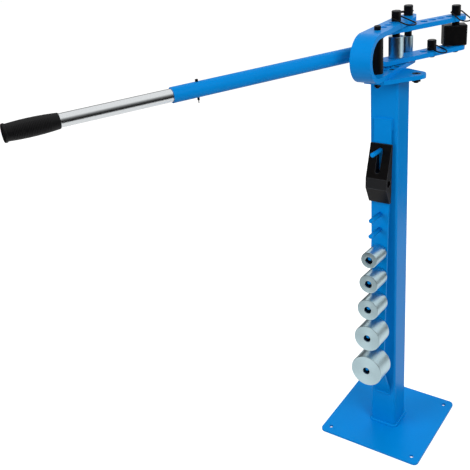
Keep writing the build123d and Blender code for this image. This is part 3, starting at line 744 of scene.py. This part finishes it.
# %% The rib tree
panels = 2
crest_range, panel_range = {"From Min": -0.3, "From Max": 0.9}, {"From Min": -0.35, "From Max": -0.2}
rib_panels, given = shape_tree("rib_panels", {
    "Rib pitch": "Float", "Rib height": "Float", "First rib": "Float", "Last rib": "Float",
    "Finish": "Material",
})
way = add(rib_panels, "GeometryNodeInputNamedAttribute", {"Name": "feed"}, data_type="FLOAT").outputs[0]
share = add(rib_panels, "GeometryNodeInputNamedAttribute", {"Name": "round"}, data_type="FLOAT").outputs[0]
count = add(rib_panels, "ShaderNodeMath", {0: way, 1: given["Rib pitch"]}, operation="DIVIDE")
wave = add(rib_panels, "ShaderNodeMath", {0: count.outputs[0], 1: 2 * math.pi}, operation="MULTIPLY")
wave = add(rib_panels, "ShaderNodeMath", {0: wave.outputs[0]}, operation="SINE")
crest = add(rib_panels, "ShaderNodeMapRange", {"Value": wave.outputs[0], **crest_range},
            interpolation_type="SMOOTHSTEP")
angle = add(rib_panels, "ShaderNodeMath", {0: share, 1: panels * 2 * math.pi}, operation="MULTIPLY")
side = add(rib_panels, "ShaderNodeMath", {0: angle.outputs[0]}, operation="COSINE")
panel = add(rib_panels, "ShaderNodeMapRange", {"Value": side.outputs[0], **panel_range},
            interpolation_type="SMOOTHSTEP")
after = add(rib_panels, "ShaderNodeMath", {0: way, 1: given["First rib"]}, operation="GREATER_THAN")
before = add(rib_panels, "ShaderNodeMath", {0: way, 1: given["Last rib"]}, operation="LESS_THAN")
lift = crest.outputs[0]
for mask in (panel.outputs[0], after.outputs[0], before.outputs[0], given["Rib height"]):
    lift = add(rib_panels, "ShaderNodeMath", {0: lift, 1: mask}, operation="MULTIPLY").outputs[0]
outwards = add(rib_panels, "GeometryNodeInputNormal").outputs[0]
offset = add(rib_panels, "ShaderNodeVectorMath", {0: outwards, "Scale": lift}, operation="SCALE")
lifted = {"Geometry": given["Geometry"], "Offset": offset.outputs[0]}
lifted = add(rib_panels, "GeometryNodeSetPosition", lifted)
close_tree(rib_panels, lifted.outputs[0], given["Finish"])
print("rib tree:", len(rib_panels.nodes), "nodes")

# %% [markdown]
# The lathe turns the plain grip at its place on the lever, and the second tree then lifts the ribs on the
# result.

# %% Grip
grip_reach_mm, grip_segments = 733, 120
rib_pitch, rib_height, first_rib, last_rib = 2.8 * MM, 0.6 * MM, 6, 30
grip_start = pivot + lever_back * grip_reach_mm * MM
grip_turn = lever_back.to_track_quat("Z", "Y").to_euler()
blank = outline_mesh([(r, -w, 0) for r, w in grip_points], [w for r, w in grip_points], closed=False)
mesh = grown(lathe, blank, Segments=grip_segments, Turn=grip_turn, Middle=grip_start, Finish=rubber)
mesh = grown(rib_panels, facing_out(mesh), Rib_pitch=rib_pitch, Rib_height=rib_height,
             First_rib=first_rib * rib_pitch, Last_rib=last_rib * rib_pitch, Finish=rubber)
set_on_frame("handle_grip.moulded", mesh, "lever", "rubber_grip", "handle_grip")
print("grip:", len(mesh.polygons), "faces,", last_rib - first_rib, "ribs in each panel")

# %% [markdown]
# ** Weld beads.** The column, the rack and the lever's socket are welded before they are painted. A bead is
# a row of frozen puddles along a seam, each overlapping the last in a bowed ripple. One tree sweeps a round
# wire along a path and presses the ripples into it, so it can follow a square, a straight edge or the
# saddle where a tube meets a bend. Real ripples, and not bump, also keep the paint's highlight broken.

# %% The weld tree
steps_per_ripple, wire_sides, ripple_middle, bow_waves = 6, 14, 0.6, 2
weld, given = shape_tree("weld_bead", {
    "Bead radius": "Float", "Ripples": "Int", "Ripple height": "Float", "Bow": "Float", "Finish": "Material",
})
path = add(weld, "GeometryNodeMeshToCurve", {"Mesh": given["Geometry"]})
fine = add(weld, "ShaderNodeMath", {0: given["Ripples"], 1: steps_per_ripple}, operation="MULTIPLY")
path = {"Curve": path.outputs[0], "Count": fine.outputs[0]}
path = add(weld, "GeometryNodeResampleCurve", path, mode="COUNT")
share = add(weld, "GeometryNodeSplineParameter").outputs["Factor"]
path = add(weld, "GeometryNodeStoreNamedAttribute",
           {"Geometry": path.outputs[0], "Name": "seam", "Value": share}, data_type="FLOAT", domain="POINT")
wire = {"Resolution": wire_sides, "Radius": given["Bead radius"]}
wire = add(weld, "GeometryNodeCurvePrimitiveCircle", wire)
share = add(weld, "GeometryNodeSplineParameter").outputs["Factor"]
wire = add(weld, "GeometryNodeStoreNamedAttribute",
           {"Geometry": wire.outputs[0], "Name": "wire", "Value": share}, data_type="FLOAT", domain="POINT")
bead = add(weld, "GeometryNodeCurveToMesh",
           {"Curve": path.outputs[0], "Profile Curve": wire.outputs[0], "Fill Caps": True})
seam = add(weld, "GeometryNodeInputNamedAttribute", {"Name": "seam"}, data_type="FLOAT").outputs[0]
around = add(weld, "GeometryNodeInputNamedAttribute", {"Name": "wire"}, data_type="FLOAT").outputs[0]
ripple = add(weld, "ShaderNodeMath", {0: seam, 1: given["Ripples"]}, operation="MULTIPLY")
arc = add(weld, "ShaderNodeMath", {0: around, 1: bow_waves * 2 * math.pi}, operation="MULTIPLY")
arc = add(weld, "ShaderNodeMath", {0: arc.outputs[0]}, operation="COSINE")
arc = add(weld, "ShaderNodeMath", {0: arc.outputs[0], 1: given["Bow"]}, operation="MULTIPLY")
phase = add(weld, "ShaderNodeMath", {0: ripple.outputs[0], 1: arc.outputs[0]}, operation="ADD")
phase = add(weld, "ShaderNodeMath", {0: phase.outputs[0]}, operation="FRACT")
rise = add(weld, "ShaderNodeMath", {0: phase.outputs[0], 1: ripple_middle}, operation="SUBTRACT")
rise = add(weld, "ShaderNodeMath", {0: rise.outputs[0], 1: given["Ripple height"]}, operation="MULTIPLY")
outwards = add(weld, "GeometryNodeInputNormal").outputs[0]
offset = add(weld, "ShaderNodeVectorMath", {0: outwards, "Scale": rise.outputs[0]}, operation="SCALE")
rippled = add(weld, "GeometryNodeSetPosition", {"Geometry": bead.outputs[0], "Offset": offset.outputs[0]})
close_tree(weld, rippled.outputs[0], given["Finish"])
print("weld tree:", len(weld.nodes), "nodes")

# %% [markdown]
# The stand's seams run round the column's foot and top and along the ends of the rack. Their paths come
# from the boxes of the pieces that they join, a little off the corner itself, so that half of the bead
# shows.

# %% Welds of the stand
least_ripples, ripple_share, ripple_bow = 6, 0.16, 0.3
thick_mm, usual_mm, thin_mm = 3.7, 2.4, 2.0


def weld_seam(name, points, closed, radius_mm, body, *nodes):
    """A bead along a path, with ripples about half as long as the bead is wide."""
    length = way_along(points + points[:1] if closed else points)[-1]
    ripples = max(least_ripples, round(length / (radius_mm * MM)))
    blank = outline_mesh(points, way_along(points), closed)
    mesh = grown(weld, blank, Bead_radius=radius_mm * MM, Ripples=ripples,
                 Ripple_height=ripple_share * radius_mm * MM, Bow=ripple_bow, Finish=blue_paint)
    set_on_frame(name, facing_out(mesh), body, "blue_paint", *nodes)
    print(f"{name}: {length / MM:.0f} mm with {ripples} ripples")


def rounded_square(half, corner, height, corner_step=15):
    """A level square path whose round corners have a point at each step, in degrees."""
    points = []
    for n, (x, y) in enumerate(((1, 1), (-1, 1), (-1, -1), (1, -1))):
        for angle in (math.radians(90 * n + turn) for turn in range(0, 91, corner_step)):
            points.append((x * (half - corner) + corner * math.cos(angle),
                           y * (half - corner) + corner * math.sin(angle), height))
    return points


foot_seat, thin_seat, side_run, foot_inset = 1.2 * MM, 0.6 * MM, 24 * MM, 2 * MM
column_low, column_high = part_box("column_tube")
half_column, column_corner = column_high.x, 5 * MM
foot_path = rounded_square(half_column + foot_seat, column_corner + foot_seat, column_low.z + foot_seat)
weld_seam("foot_weld.rippled", foot_path, True, thick_mm, "stand", "foot_weld")
head_path = rounded_square(half_column, column_corner, column_high.z - thin_seat)
weld_seam("head_weld", head_path, True, thin_mm, "stand")
rack_low, rack_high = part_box("rack_bar")
rack_side, rack_face, rack_top = rack_high.x, -half_column - thin_seat, rack_high.z
rack_top_path = [(-rack_side, rack_face, rack_top - side_run), (-rack_side, rack_face, rack_top),
                 (rack_side, rack_face, rack_top), (rack_side, rack_face, rack_top - side_run)]
weld_seam("rack_top_weld", rack_top_path, False, thin_mm, "stand")
rack_foot_path = [(x, rack_face, rack_low.z) for x in (-rack_side + foot_inset, rack_side - foot_inset)]
weld_seam("rack_foot_weld", rack_foot_path, False, usual_mm, "stand")

# %% [markdown]
# The lever's socket meets the round back of the inner bracket, so its seam is a saddle: a circle round the
# lever that dips to and fro along it. How far each of its points reaches follows from the bend's own
# circle.

# %% Weld of the lever's socket
bend_back, socket_radius, saddle_seat, saddle_step = 72 * MM, 15.2 * MM, 0.8 * MM, 5
bend_low, bend_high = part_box("moving_bracket")
bend_radius = (bend_high.z - bend_low.z) / 2
socket_drop = -lever_back.z * bend_back
lever_side = Vector((-lever_back.y, lever_back.x, 0)).normalized()
lever_up = lever_back.cross(lever_side)
saddle_path = []
for angle in (math.radians(turn) for turn in range(0, 360, saddle_step)):
    rise, across = socket_radius * math.sin(angle), socket_radius * math.cos(angle)
    reach = bend_back - bend_radius + math.sqrt(bend_radius ** 2 - (rise - socket_drop) ** 2)
    seam_point = pivot + lever_back * (reach + saddle_seat) + lever_side * across + lever_up * rise
    saddle_path.append(tuple(seam_point))
weld_seam("socket_weld", saddle_path, True, usual_mm, "lever")

# %% [markdown]
# **Knurled cap screw.** The stop sleeve's screw has a round head that is grooved for the fingers. Cutting
# the grooves would tear so small a mesh, so thin ridges stand round it instead: one ridge, repeated by
# Instance on Points and turned to face outwards.

# %% Knurl
ridges, ridge_side, ridge_sink, ridge_margin, head_height = 32, 0.7 * MM, 0.15 * MM, 3 * MM, 9 * MM
knurl, given = shape_tree("knurl", {
    "Ridges": "Int", "Head radius": "Float", "Ridge size": "Vector", "Middle": "Vector", "Finish": "Material",
})
ring = add(knurl, "GeometryNodeMeshCircle", {"Vertices": given["Ridges"], "Radius": given["Head radius"]})
spot = add(knurl, "GeometryNodeInputPosition").outputs[0]
facing = add(knurl, "FunctionNodeAlignRotationToVector", {"Vector": spot}, axis="X", pivot_axis="Z")
ridge = add(knurl, "GeometryNodeMeshCube", {"Size": given["Ridge size"]})
ridge = add(knurl, "GeometryNodeTransform", {"Geometry": ridge.outputs[0], "Rotation": (0, 0, math.pi / 4)})
row = {"Points": ring.outputs[0], "Instance": ridge.outputs[0], "Rotation": facing.outputs[0]}
row = add(knurl, "GeometryNodeInstanceOnPoints", row)
row = add(knurl, "GeometryNodeTransform", {"Geometry": row.outputs[0], "Translation": given["Middle"]})
close_tree(knurl, row.outputs[0], given["Finish"])

bolt_low, bolt_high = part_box("stop_bolt")
head_radius = (bolt_high.x - bolt_low.x) / 2
bolt_x, bolt_y = (bolt_low.x + bolt_high.x) / 2, (bolt_low.y + bolt_high.y) / 2
knurl_middle = Vector((bolt_x, bolt_y, bolt_high.z - head_height / 2))
mesh = grown(knurl, bpy.data.meshes.new("blank"), Ridges=ridges, Head_radius=head_radius - ridge_sink,
             Ridge_size=(ridge_side, ridge_side, head_height - ridge_margin), Middle=knurl_middle,
             Finish=black_steel)
set_on_frame("stop_bolt.knurl", mesh, "stand", "black_steel")
print("knurl:", ridges, "ridges,", len(mesh.polygons), "faces")

# %% [markdown]
# Last, the two boxes are compared, to show how far the dressed model stands proud of the frame.

# %% Sizes and end
visual_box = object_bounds()
growth = max(max(c - v, w - d) for c, v, d, w in zip(cad_box[0], visual_box[0], cad_box[1], visual_box[1]))
print(f"the dressed model stands {growth / MM:.2f} mm proud of the frame at most")
